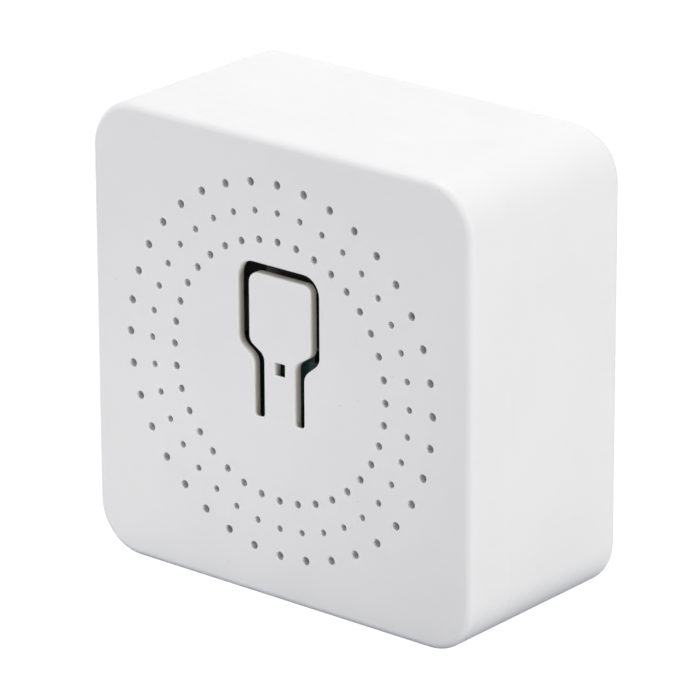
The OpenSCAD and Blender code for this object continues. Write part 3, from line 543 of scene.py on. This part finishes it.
def snapBeads(extra):  # four straight beads, or with extra size the grooves that take them
    y = lipY + beadShape["behindLip"]
    half = beadShape["length"] / 2 + extra
    radius, sides = beadShape["radius"] + extra, beadShape["sides"]
    beads = []
    for side in (-1, 1):
        x = caseMiddle.x + side * (caseHalf.x - beadShape["inset"])
        z = caseMiddle.z + side * (caseHalf.z - beadShape["inset"])
        ends = ((x, caseMiddle.z - half), (x, caseMiddle.z + half)), ((-half, z), (half, z))
        for (x0, z0), (x1, z1) in ends:
            start, end = Vector((x0, y, z0)), Vector((x1, y, z1))
            beads.append(roundBar("bead", start, end, radius, sides))
    return beads


def coverBlank():
    wall, postY = caseShape["wall"], panelY - postShape["sink"]
    lipRoom = wall - caseShape["lipWall"] - caseShape["lipGap"]
    rebateY = lipY - caseShape["lipGap"]
    edge = quarterRound(caseShape["frontRounding"], caseShape["edgeSteps"])
    seam = quarterRound(caseShape["seamRounding"], caseShape["seamSteps"])
    rings = [caseRing(inset, frontY + depth) for inset, depth in edge]
    rings += [caseRing(inset, seamY - depth) for inset, depth in reversed(seam)]
    rings += [caseRing(lipRoom, seamY), caseRing(lipRoom, rebateY)]
    rings += [caseRing(wall, rebateY), caseRing(wall, panelY)]
    cover = loftedSolid("coverShell", rings)
    for x, z in postPlaces():
        post = alongY("post", x, z, postY, boardLow.y, postShape["radius"])
        combine(cover, post, "UNION")
    for groove in snapBeads(beadShape["gap"]):
        combine(cover, groove, "DIFFERENCE")
    return cover


def rearBlank():
    wall, lipFace = caseShape["wall"], caseShape["wall"] - caseShape["lipWall"]
    edge = quarterRound(caseShape["backRounding"], caseShape["edgeSteps"])
    seam = quarterRound(caseShape["seamRounding"], caseShape["seamSteps"])
    rings = [caseRing(wall, insideY), caseRing(wall, lipY)]
    rings += [caseRing(lipFace, lipY), caseRing(lipFace, seamY)]
    rings += [caseRing(inset, seamY + depth) for inset, depth in seam]
    rings += [caseRing(inset, backY - depth) for inset, depth in reversed(edge)]
    rear = loftedSolid("rearTub", rings)
    standY, sink = boardHigh.y, postShape["sink"]
    pegY = standY - postShape["pegLength"]
    for x, z in postPlaces():
        post = alongY("post", x, z, standY, insideY + sink, postShape["radius"])
        peg = alongY("peg", x, z, pegY, standY + sink, postShape["pegRadius"])
        combine(post, peg, "UNION")
        combine(rear, post, "UNION")
    for bead in snapBeads(0.0):
        combine(rear, bead, "UNION")
    return rear


# Vents, wire entries and screw holes are all cut by one pin with a rounded rim

def turnedForm(tree, depths, radii, sides):  # a round bar along Y, with a radius at each depth
    row = addNode(tree, "GeometryNodeInputIndex").outputs[0]
    picks = []
    for values in (depths, radii):
        pick = addNode(tree, "GeometryNodeIndexSwitch", data_type="FLOAT")
        while len(pick.index_switch_items) < len(values):
            pick.index_switch_items.new()
        tree.links.new(row, pick.inputs["Index"])
        for k, value in enumerate(values, 1):
            if isinstance(value, float):
                pick.inputs[k].default_value = value
            else:
                tree.links.new(value, pick.inputs[k])
        picks.append(pick.outputs[0])
    stations = addNode(tree, "GeometryNodeMeshLine", {"Count": len(depths),
                                                      "Offset": (0, 0, 0)}).outputs[0]
    spot = addNode(tree, "ShaderNodeCombineXYZ", {"Y": picks[0]}).outputs[0]
    spine = addNode(tree, "GeometryNodeSetPosition", {"Geometry": stations,
                                                      "Position": spot}).outputs[0]
    spine = addNode(tree, "GeometryNodeMeshToCurve", {"Mesh": spine}).outputs[0]
    ring = addNode(tree, "GeometryNodeCurvePrimitiveCircle", {"Resolution": sides,
                                                              "Radius": 1.0}).outputs[0]
    return addNode(tree, "GeometryNodeCurveToMesh", {
        "Curve": spine, "Profile Curve": ring, "Scale": picks[1], "Fill Caps": True}).outputs[0]


# Sine and cosine at the steps of a rounded rim, and the sizes that every pin has
rimBends = [(math.sin(math.radians(turn)), math.cos(math.radians(turn))) for turn in (30, 60)]
pinSizes = {"Rim": "Float", "Neck": "Float", "Flare": "Float", "Depth": "Float", "Sides": "Int"}


def rimmedPin():
    tree, given, wanted = newTree("rimmed pin", "GeometryNodeTree", {"Radius": "Float"} | pinSizes,
                                  {"Mesh": "Geometry"})
    radius, rim, neck = given["Radius"], given["Rim"], given["Neck"]
    mouth = calculate(tree, "ADD", radius, rim)
    foot = calculate(tree, "ADD", radius, given["Flare"])
    depths = [calculate(tree, "MULTIPLY", given["Depth"], -1.0), 0.0]
    depths += [calculate(tree, "MULTIPLY", rim, 1 - cosine) for _, cosine in rimBends]
    depths += [rim, neck, calculate(tree, "ADD", neck, given["Flare"]), given["Depth"]]
    radii = [mouth, mouth]
    radii += [calculate(tree, "MULTIPLY_ADD", rim, 1 - sine, radius) for sine, _ in rimBends]
    radii += [radius, radius, foot, foot]
    tree.links.new(turnedForm(tree, depths, radii, given["Sides"]), wanted["Mesh"])
    return tree


pinTree = rimmedPin()


def placedPin(tree, given, radius):
    sockets = {"Radius": radius} | {label: given[label] for label in pinSizes}
    return addNode(tree, "GeometryNodeGroup", sockets, node_tree=pinTree).outputs[0]


def endTree(tree, given, wanted, form):
    whole = addNode(tree, "GeometryNodeRealizeInstances", {"Geometry": form}).outputs[0]
    painted = addNode(tree, "GeometryNodeSetMaterial", {"Geometry": whole,
                                                        "Material": given["Material"]})
    tree.links.new(painted.outputs[0], wanted["Geometry"])


def cutPins(tree, given, wanted, pins):
    pins = addNode(tree, "GeometryNodeRealizeInstances", {"Geometry": pins}).outputs[0]
    cut = addNode(tree, "GeometryNodeMeshBoolean", {"Mesh 1": given["Geometry"], "Mesh 2": pins},
                  operation="DIFFERENCE", solver="EXACT")
    endTree(tree, given, wanted, cut.outputs[0])


# The pins of the vents go two panels deep, those of the poles one and a half walls
ventShape = {"holes": 36, "rings": (11.0, 13.4, 15.75), "diameters": (0.66, 0.58, 0.72),
             "rim": 0.055, "neck": 0.8, "flare": 0.12, "panels": 2, "up": 0.15, "sides": 16}
ventNumbers = range(1, len(ventShape["rings"]) + 1)


def ventRings():
    inputs = {"Geometry": "Geometry", "Holes": "Int", "Middle": "Vector", "Material": "Material"}
    for k in ventNumbers:
        inputs.update({f"Ring {k}": "Float", f"Hole {k}": "Float"})
    tree, given, wanted = newTree("vent rings", "GeometryNodeTree", inputs | pinSizes,
                                  {"Geometry": "Geometry"})
    joined = addNode(tree, "GeometryNodeJoinGeometry")
    for k in ventNumbers:
        ring = addNode(tree, "GeometryNodeMeshCircle", {"Vertices": given["Holes"],
                                                        "Radius": given[f"Ring {k}"]}).outputs[0]
        upright = addNode(tree, "GeometryNodeTransform", {
            "Geometry": ring, "Translation": given["Middle"],
            "Rotation": (math.pi / 2, 0, 0)}).outputs[0]
        pin = placedPin(tree, given, given[f"Hole {k}"])
        holes = addNode(tree, "GeometryNodeInstanceOnPoints", {"Points": upright, "Instance": pin})
        tree.links.new(holes.outputs[0], joined.inputs[0])
    cutPins(tree, given, wanted, joined.outputs[0])
    return tree


def cutVents(cover):
    shape = ventShape
    values = {"Holes": shape["holes"], "Middle": (caseMiddle.x, frontY, caseMiddle.z + shape["up"]),
              "Rim": shape["rim"], "Neck": shape["neck"], "Flare": shape["flare"],
              "Depth": shape["panels"] * caseShape["panel"], "Sides": shape["sides"],
              "Material": caseWhite}
    for k, ring, diameter in zip(ventNumbers, shape["rings"], shape["diameters"]):
        values.update({f"Ring {k}": ring, f"Hole {k}": diameter / 2})
    runTree(cover, ventRings(), values)


poleShape = {"count": 5, "pitch": 5.08, "wireRadius": 1.8, "wireY": -0.35, "wireRim": 0.35,
             "screwRadius": 1.95, "screwZ": 5.1, "screwRim": 0.2, "neck": 0.8, "flare": 0.05,
             "walls": 1.5, "sides": 40}


def drilledRow():
    tree, given, wanted = newTree(
        "drilled row", "GeometryNodeTree",
        {"Geometry": "Geometry", "Count": "Int", "Pitch": "Float", "First": "Vector",
         "Turn": "Rotation", "Radius": "Float", "Material": "Material"} | pinSizes,
        {"Geometry": "Geometry"})
    step = addNode(tree, "ShaderNodeCombineXYZ", {"X": given["Pitch"]}).outputs[0]
    row = addNode(tree, "GeometryNodeMeshLine", {
        "Count": given["Count"], "Start Location": given["First"], "Offset": step}).outputs[0]
    pin = placedPin(tree, given, given["Radius"])
    holes = addNode(tree, "GeometryNodeInstanceOnPoints", {
        "Points": row, "Instance": pin, "Rotation": given["Turn"]}).outputs[0]
    cutPins(tree, given, wanted, holes)
    return tree


def cutPoles(rear):
    shape = poleShape
    firstX = caseMiddle.x - shape["pitch"] * (shape["count"] - 1) / 2
    shared = {"Count": shape["count"], "Pitch": shape["pitch"], "Neck": shape["neck"],
              "Flare": shape["flare"], "Sides": shape["sides"], "Material": caseWhite}
    wires = {"First": (firstX, shape["wireY"], rearLow.z), "Turn": (math.pi / 2, 0, 0),
             "Radius": shape["wireRadius"], "Rim": shape["wireRim"],
             "Depth": shape["walls"] * caseShape["wall"]}
    screws = {"First": (firstX, backY, shape["screwZ"]), "Turn": (0, 0, math.pi),
              "Radius": shape["screwRadius"], "Rim": shape["screwRim"],
              "Depth": shape["walls"] * caseShape["back"]}
    row = drilledRow()
    for holes in (wires, screws):
        runTree(rear, row, shared | holes)


# The button: one narrow slot frees a paddle that hangs on by its stem

tongueShape = {"head": (-3.065, 3.355), "stem": (-1.52, 1.69), "top": 27.74,
               "sideEnd": (21.8, 21.82), "stemTop": (20.85, 20.72), "topRadius": (0.95, 0.75),
               "bendRadius": 0.85}
openingShape = {"head": (-4.15, 4.225), "stem": (-2.525, 2.63), "top": 28.58,
                "sideEnd": (21.46, 21.4), "stemTop": (20.4, 20.1), "topRadius": (1.5, 1.6),
                "bendRadius": 1.2}
buttonShape = {"rootZ": 15.55, "slotRim": 0.16, "slotEndRadius": 0.32, "sideDraft": 0.08,
               "endDraft": 0.45, "zoneTopRadius": 1.2, "zoneBendRadius": 0.7, "bossRadius": 1.0,
               "windowX": 0.15, "windowZ": 20.02, "windowWidth": 1.06, "windowHeight": 1.06,
               "windowRadius": 0.1, "windowSteps": 4, "windowRim": 0.08, "windowDraft": 0.05,
               "windowFall": 0.4, "rimSteps": 4, "cutDepth": 1.0, "splitUp": 0.06,
               "splitRadius": 0.01, "bendLength": 1.6, "bendRows": 8}
plungerLow, plungerHigh = (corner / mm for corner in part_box("tact_plunger"))
pressPoint = (plungerLow + plungerHigh) / 2
splitZ = buttonShape["rootZ"] + buttonShape["splitUp"]  # where the tongue leaves the panel


def paddleCorners(shape):
    corners = []
    for side, order in ((0, 1), (1, -1)):
        rise = [(shape["stem"][side], shape["stemTop"][side], shape["bendRadius"]),
                (shape["head"][side], shape["sideEnd"][side], shape["bendRadius"]),
                (shape["head"][side], shape["top"], shape["topRadius"][side])]
        corners += rise[::order]
    return corners


def atDepth(outline, y):
    return [Vector((spot.x, y, spot.y)) for spot in outline]


def rimmedCutter(name, outline, backOutline, rim):
    depth = buttonShape["cutDepth"]
    steps = [(rim, -depth)] + quarterRound(rim, buttonShape["rimSteps"])
    rings = [atDepth(grownOutline(outline, out), frontY + down) for out, down in steps]
    return loftedSolid(name, rings + [atDepth(backOutline, frontY + depth)])


def slotOutline(opening, rootZ):
    radius = buttonShape["slotEndRadius"]
    outerLeft, outerRight = ((x, rootZ, radius) for x in opening["stem"])
    innerLeft, innerRight = ((x, rootZ, radius) for x in tongueShape["stem"])
    path = [outerLeft] + paddleCorners(opening) + [outerRight, innerRight]
    return roundedOutline(path + paddleCorners(tongueShape)[::-1] + [innerLeft])


def slotCutter():  # the opening widens towards the back, as a moulded one does
    draft, rootZ = buttonShape["sideDraft"], buttonShape["rootZ"]
    wider = {key: (openingShape[key][0] - draft, openingShape[key][1] + draft)
             for key in ("head", "stem")}
    back = slotOutline(openingShape | wider, rootZ - buttonShape["endDraft"])
    return rimmedCutter("slot", slotOutline(openingShape, rootZ), back, buttonShape["slotRim"])


def windowOutline(fall):
    shape = buttonShape
    x0, x1 = (shape["windowX"] + side * shape["windowWidth"] / 2 for side in (-1, 1))
    z0, z1 = (shape["windowZ"] + side * shape["windowHeight"] / 2 for side in (-1, 1))
    spots = ((x0, z0 - fall), (x1, z0 - fall), (x1, z1), (x0, z1))
    corners = [(x, z, shape["windowRadius"]) for x, z in spots]
    return roundedOutline(corners, shape["windowSteps"])


def windowCutter():  # its foot falls away towards the light behind
    back = grownOutline(windowOutline(buttonShape["windowFall"]), buttonShape["windowDraft"])
    return rimmedCutter("window", windowOutline(0), back, buttonShape["windowRim"])


def tongueZone(name):  # runs through the middle of the slot and across the root of the stem
    shape = buttonShape
    zone = {key: tuple((a + b) / 2 for a, b in zip(tongueShape[key], openingShape[key]))
            for key in ("head", "stem", "sideEnd", "stemTop")}
    zone["top"] = (tongueShape["top"] + openingShape["top"]) / 2
    zone["topRadius"] = (shape["zoneTopRadius"],) * 2
    zone["bendRadius"] = shape["zoneBendRadius"]
    left, right = ((x, splitZ, shape["splitRadius"]) for x in zone["stem"])
    outline = roundedOutline([left] + paddleCorners(zone) + [right])
    ends = (frontY - shape["cutDepth"], panelY + shape["cutDepth"])
    return loftedSolid(name, [atDepth(outline, y) for y in ends])


def makeCover():
    cover = coverBlank()
    bossStart, bossEnd = panelY - postShape["sink"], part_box("button")[1].y / mm
    boss = alongY("boss", pressPoint.x, pressPoint.z, bossStart, bossEnd, buttonShape["bossRadius"])
    combine(cover, boss, "UNION")
    combine(cover, slotCutter(), "DIFFERENCE")
    combine(cover, windowCutter(), "DIFFERENCE")
    tongue = cover.copy()
    tongue.data = cover.data.copy()
    tongue.name = "buttonTongue"
    bpy.context.collection.objects.link(tongue)
    combine(tongue, tongueZone("inside"), "INTERSECT")
    combine(cover, tongueZone("outside"), "DIFFERENCE")
    cutVents(cover)
    return cover, tongue


def addBendRows(tongue):  # rows of points across the stem, at even steps above where it leaves the panel
    form = bmesh.new()
    form.from_mesh(tongue.data)
    rows = buttonShape["bendRows"]
    for k in range(1, rows):
        z = splitZ + buttonShape["bendLength"] * k / rows
        whole = form.verts[:] + form.edges[:] + form.faces[:]
        bmesh.ops.bisect_plane(form, geom=whole, plane_co=(0, 0, z), plane_no=(0, 0, 1))
    form.to_mesh(tongue.data)
    form.free()
    tongue.data.materials.clear()
    tongue.data.materials.append(caseWhite)


coverShell, buttonTongue = makeCover()
addBendRows(buttonTongue)
rearTub = rearBlank()
cutPoles(rearTub)
for piece in (coverShell, buttonTongue, rearTub):
    finishMesh(piece)
print("case made")

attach(coverShell, "case")
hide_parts("front_cover")
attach(rearTub, "case")
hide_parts("rear_case")
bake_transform(buttonTongue)
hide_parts("button")


# Terminal screws: turned head with a cross slot, and a helical thread on the shank

screwShape = {"shank": 1.25, "head": 1.65, "headHeight": 1.2, "underHead": 0.02, "rim": 0.28,
              "tip": 0.25, "thread": 0.14, "pitch": 0.5, "slotWidth": 0.6, "slotDepth": 0.6,
              "slotReach": 3.0, "sides": 40, "threadSteps": 18, "threadSides": 6}
# Inputs of the screw's tree; the slot's reach is counted in radii of the head
screwSizes = {"Shank": "shank", "Head": "head", "Head Height": "headHeight",
              "Under Head": "underHead", "Rim": "rim", "Tip": "tip", "Thread": "thread",
              "Pitch": "pitch", "Slot Width": "slotWidth", "Slot Depth": "slotDepth",
              "Slot Reach": "slotReach"}


def clampScrew():
    inputs = {"Geometry": "Geometry", "Foot": "Vector", "Length": "Float", "Sides": "Int",
              "Material": "Material"} | dict.fromkeys(screwSizes, "Float")
    tree, given, wanted = newTree("clamp screw", "GeometryNodeTree", inputs,
                                  {"Geometry": "Geometry"})
    head, rim, top = given["Head"], given["Rim"], given["Length"]
    core = calculate(tree, "SUBTRACT", given["Shank"], given["Thread"])
    neck = calculate(tree, "SUBTRACT", top, given["Head Height"])
    depths = [0.0, given["Tip"], neck, calculate(tree, "ADD", neck, given["Under Head"]),
              calculate(tree, "SUBTRACT", top, rim)]
    depths += [calculate(tree, "MULTIPLY_ADD", rim, sine - 1, top) for sine, _ in rimBends]
    depths += [top]
    radii = [calculate(tree, "SUBTRACT", core, given["Tip"]), core, core, head, head]
    radii += [calculate(tree, "MULTIPLY_ADD", rim, cosine - 1, head) for _, cosine in rimBends]
    radii += [calculate(tree, "SUBTRACT", head, rim)]
    body = turnedForm(tree, depths, radii, given["Sides"])

    deep = calculate(tree, "MULTIPLY", given["Slot Depth"], 2.0)  # half of each bar stands clear
    wide = calculate(tree, "MULTIPLY", head, given["Slot Reach"])
    at = addNode(tree, "ShaderNodeCombineXYZ", {"Y": top}).outputs[0]
    cut = addNode(tree, "GeometryNodeMeshBoolean", {"Mesh 1": body}, operation="DIFFERENCE",
                  solver="EXACT")
    for across, up in ((given["Slot Width"], wide), (head, given["Slot Width"])):
        size = addNode(tree, "ShaderNodeCombineXYZ", {"X": across, "Y": deep, "Z": up}).outputs[0]
        bar = addNode(tree, "GeometryNodeMeshCube", {"Size": size}).outputs[0]
        bar = addNode(tree, "GeometryNodeTransform", {"Geometry": bar, "Translation": at})
        tree.links.new(bar.outputs[0], cut.inputs["Mesh 2"])

    run = calculate(tree, "SUBTRACT", neck, calculate(tree, "MULTIPLY", given["Tip"], 2.0))
    turns = calculate(tree, "DIVIDE", run, given["Pitch"])
    helix = addNode(tree, "GeometryNodeCurveSpiral", {
        "Resolution": screwShape["threadSteps"], "Rotations": turns, "Start Radius": core,
        "End Radius": core, "Height": run}).outputs[0]
    start = addNode(tree, "ShaderNodeCombineXYZ", {"Y": given["Tip"]}).outputs[0]
    helix = addNode(tree, "GeometryNodeTransform", {
        "Geometry": helix, "Translation": start, "Rotation": (-math.pi / 2, 0, 0)}).outputs[0]
    ridge = addNode(tree, "GeometryNodeCurvePrimitiveCircle", {
        "Resolution": screwShape["threadSides"], "Radius": given["Thread"]}).outputs[0]
    thread = addNode(tree, "GeometryNodeCurveToMesh", {
        "Curve": helix, "Profile Curve": ridge, "Fill Caps": True}).outputs[0]
    joined = addNode(tree, "GeometryNodeJoinGeometry")
    tree.links.new(thread, joined.inputs[0])
    tree.links.new(cut.outputs[0], joined.inputs[0])
    placed = addNode(tree, "GeometryNodeTransform", {"Geometry": joined.outputs[0],
                                                     "Translation": given["Foot"]})
    endTree(tree, given, wanted, placed.outputs[0])
    return tree


def makeScrews():
    tree = clampScrew()
    sizes = {label: screwShape[key] for label, key in screwSizes.items()}
    sizes.update({"Sides": screwShape["sides"], "Material": finishes["zinc_steel"]})
    for k in range(1, poleShape["count"] + 1):
        low, high = (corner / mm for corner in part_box(f"terminal_screw_{k}"))
        middle = (low + high) / 2
        screw = meshObject(f"clampScrew{k}", bmesh.new())
        runTree(screw, tree, sizes | {"Foot": (middle.x, low.y, middle.z),
                                      "Length": high.y - low.y})
        finishMesh(screw)
        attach(screw, f"screw_{k}")
        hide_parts(f"terminal_screw_{k}")


makeScrews()
print("screws made")


# Floor, light and camera

# The foot colour is a painted contact shadow on the floor round the object's foot
stageLook = {"floorSize": 3.0, "floorSink": 0.02, "floorColour": (0.535, 0.537, 0.545, 1),
             "floorRoughness": 0.8, "floorGlow": 1.05, "cloudScale": 6.0, "cloud": (0.97, 1.0),
             "footShadow": (0.17, 0.22, 0.31, 1), "footReach": 0.0015, "lightAim": (0, 0, 0.02),
             "worldStrength": 0.527, "worldColour": (0.976, 0.985, 1.032, 1)}


def makeFloor(look):  # the camera sees plain white, the object its grey bounce with a painted contact shadow round its foot
    form = bmesh.new()
    bmesh.ops.create_grid(form, x_segments=1, y_segments=1, size=look["floorSize"] / 2)
    floor = meshObject("floor", form)
    floor.data.transform(Matrix.Translation((0, 0, -look["floorSink"] * mm)))
    finish, tree, shader, spots = newFinish("pale floor")
    corner = (cadBox[1].x, cadBox[1].y, 0)
    away = vectorMath(tree, "SUBTRACT", vectorMath(tree, "ABSOLUTE", spots), corner)
    away = vectorMath(tree, "LENGTH", vectorMath(tree, "MAXIMUM", away, (0, 0, 0)))
    clear = spread(tree, away, (0.0, look["footReach"]), interpolation_type="SMOOTHSTEP")
    cloud = mottled(tree, spots, look["cloudScale"], look["cloud"])
    tone = blendColour(tree, calculate(tree, "MULTIPLY", clear, cloud), look["footShadow"],
                       look["floorColour"])
    tree.links.new(tone, shader["Base Color"])
    shader["Roughness"].default_value = look["floorRoughness"]
    bright = addNode(tree, "ShaderNodeEmission", {"Color": (1, 1, 1, 1),
                                                  "Strength": look["floorGlow"]})
    seen = addNode(tree, "ShaderNodeLightPath").outputs["Is Camera Ray"]
    mix = addNode(tree, "ShaderNodeMixShader", {
        0: seen, 1: tree.nodes["Principled BSDF"].outputs[0], 2: bright.outputs[0]})
    tree.links.new(mix.outputs[0], tree.nodes["Material Output"].inputs["Surface"])
    floor.data.materials.append(finish)


lights = {  # place and side in metres, power in watts
    "top light": ((-0.207, 0.0, 0.773), 0.5, 3.43),
    "right light": ((0.7, -0.1, 0.06), 0.3, 3.3),
    "left light": ((-0.22, -0.3, 0.02), 0.2, 0.376),
    "rim light": ((-0.35, 0.65, 0.3), 0.5, 0.842),
    "edge light": ((-0.7, 0.0, 0.018), 0.034, 0.2),
    "back light": ((-0.3, 0.6, 0.018), 0.034, 1.7),
    "low light": ((-0.02, -0.05, 0.005), 0.008, 0.0018),
}


def softBox(name, place, size, power):
    lamp = bpy.data.lights.new(name, "AREA")
    lamp.shape = "SQUARE"
    lamp.size = size
    lamp.energy = power
    holder = bpy.data.objects.new(name, lamp)
    holder.location = place
    holder.visible_camera = False
    towards = Vector(stageLook["lightAim"]) - Vector(place)
    holder.rotation_euler = towards.to_track_quat("-Z", "Y").to_euler()
    bpy.context.collection.objects.link(holder)


viewpoint = {"azimuth": 39.795, "elevation": 20.113, "roll": -0.274, "distance": 444.908,
             "aim": (-0.927, -0.665, 19.824), "lens": 290.905, "clipEnd": 20}


def makeCamera(view):
    turn, lift, roll = (math.radians(view[key]) for key in ("azimuth", "elevation", "roll"))
    back = Vector((math.sin(turn) * math.cos(lift), -math.cos(turn) * math.cos(lift),
                   math.sin(lift)))
    level = Vector((math.cos(turn), math.sin(turn), 0))
    upright = back.cross(level)
    right = level * math.cos(roll) + upright * math.sin(roll)
    camera = bpy.data.objects.new("camera", bpy.data.cameras.new("camera"))
    camera.data.lens = view["lens"]
    camera.data.clip_end = view["clipEnd"]
    spin = Matrix((right, back.cross(right), back)).transposed()
    place = (Vector(view["aim"]) + back * view["distance"]) * mm
    camera.matrix_world = Matrix.Translation(place) @ spin.to_4x4()
    bpy.context.collection.objects.link(camera)
    bpy.context.scene.camera = camera


def makeRoom(look):
    world = bpy.data.worlds.new("white room")
    world.use_nodes = True
    background = world.node_tree.nodes["Background"].inputs
    background["Strength"].default_value = look["worldStrength"]
    background["Color"].default_value = look["worldColour"]
    bpy.context.scene.world = world
    bpy.context.scene.view_settings.view_transform = "Standard"


makeFloor(stageLook)
for name, (place, size, power) in lights.items():
    softBox(name, place, size, power)
makeCamera(viewpoint)
makeRoom(stageLook)
print("stage set")
